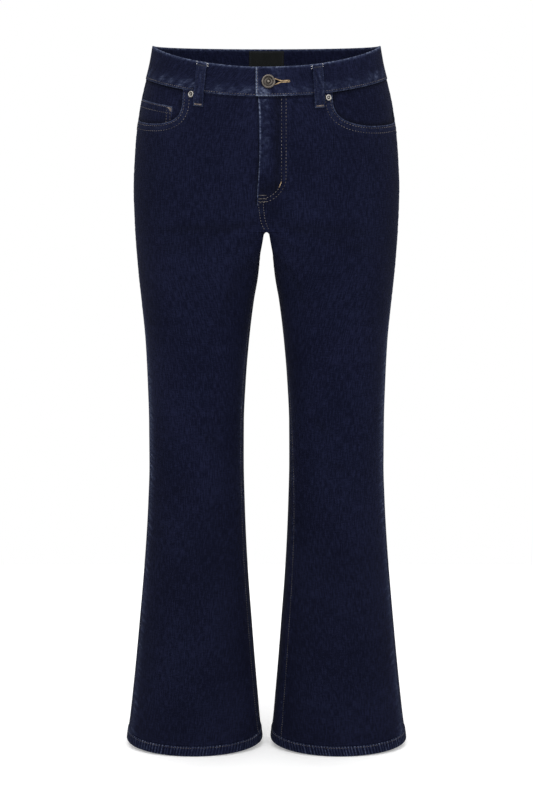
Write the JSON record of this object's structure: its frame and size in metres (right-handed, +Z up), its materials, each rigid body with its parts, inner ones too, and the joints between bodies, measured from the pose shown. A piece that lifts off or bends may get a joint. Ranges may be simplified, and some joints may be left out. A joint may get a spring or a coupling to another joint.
{
  "type": "bootcut jeans",
  "caption": "Dark denim jeans for an adult with a flared lower leg, upright and hollow as worn, with a buttoned waistband, belt loops, curved front pockets and patch back pockets.",
  "frame": {"origin": "centre of the waist opening, at the middle of the waistband's height at the sides, where the wearer's waist holds the garment up", "axes": "+Z up, +X to the wearer's left, -Y to the front"},
  "size_m": [0.4148, 0.2564, 1.0154],
  "materials": {
    "denim": "dark indigo twill, matte",
    "tape_cloth": "dark woven tape, matte",
    "label_cloth": "blank black woven label, matte",
    "aged_metal": "antique nickel, worn satin"
  },
  "bodies": {
    "root": {"front_left": "denim", "front_right": "denim", "back_left": "denim", "back_right": "denim", "yoke_left": "denim", "yoke_right": "denim", "waistband": "denim", "hem_left": "denim", "hem_right": "denim", "pocket_facing_left": "denim", "pocket_facing_right": "denim", "coin_pocket": "denim", "back_pocket_left": "denim", "back_pocket_right": "denim", "fly_shield": "denim", "belt_loop_front_left": "denim", "belt_loop_front_right": "denim", "belt_loop_side_left": "denim", "belt_loop_side_right": "denim", "belt_loop_back": "denim", "zip": "tape_cloth", "zip_slider": "aged_metal", "button": "aged_metal", "rivet_left": "aged_metal", "rivet_right": "aged_metal", "waist_label": "label_cloth"}
  },
  "joints": []
}
